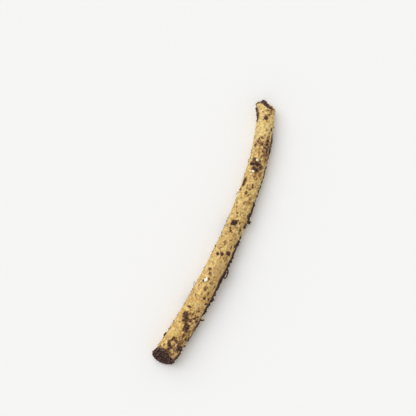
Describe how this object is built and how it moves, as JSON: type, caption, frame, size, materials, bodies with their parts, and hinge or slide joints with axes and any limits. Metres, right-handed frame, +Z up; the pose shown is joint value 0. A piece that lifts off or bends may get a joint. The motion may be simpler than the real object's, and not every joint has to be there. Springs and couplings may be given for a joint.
{
  "type": "horseradish root",
  "caption": "Bowed, slightly tapering horseradish root cutting with a blunt crown end and a slanted tail cut, lying down with garden soil on its skin.",
  "frame": {"origin": "under the middle of the root's bounding box, on the surface that the root lies on", "axes": "+X along the root towards its crown end, +Z up, and the outside of the root's bow towards -Y"},
  "size_m": [0.2012, 0.0298, 0.0172],
  "materials": {
    "root_skin": "matte",
    "soil": "matte",
    "perlite": "matte"
  },
  "bodies": {
    "root": {"root": "root_skin", "soil_cake_slanted_cut": "soil", "soil_cake_crown_cut": "soil", "soil_crumb_crown_tip": "soil", "soil_crust_upper_outside": "soil", "soil_crust_upper_inside": "soil", "soil_crust_grit_patch": "soil", "soil_crust_inside_smear": "soil", "soil_clod_middle": "soil", "soil_crust_chain_lower": "soil", "soil_crust_chain_upper": "soil", "soil_crust_fork": "soil", "soil_clod_tail": "soil", "soil_band_inside_crown": "soil", "soil_band_outside_crown": "soil", "soil_band_outside_upper": "soil", "soil_band_outside_clods": "soil", "soil_band_outside_middle": "soil", "soil_band_outside_lower": "soil", "soil_band_outside_tail": "soil", "soil_band_under_crown": "soil", "soil_band_under_middle": "soil", "soil_band_under_tail": "soil", "soil_patch_under_tail": "soil", "soil_crumb_near_crown": "soil", "soil_speck_near_crown": "soil", "soil_crumb_outside_upper": "soil", "soil_speck_middle": "soil", "soil_crumb_outside_middle": "soil", "soil_crumb_outside_lower": "soil", "soil_flake_inside_tail": "soil", "perlite_grain_first": "perlite", "perlite_grain_second": "perlite", "perlite_chip": "perlite"}
  },
  "joints": []
}
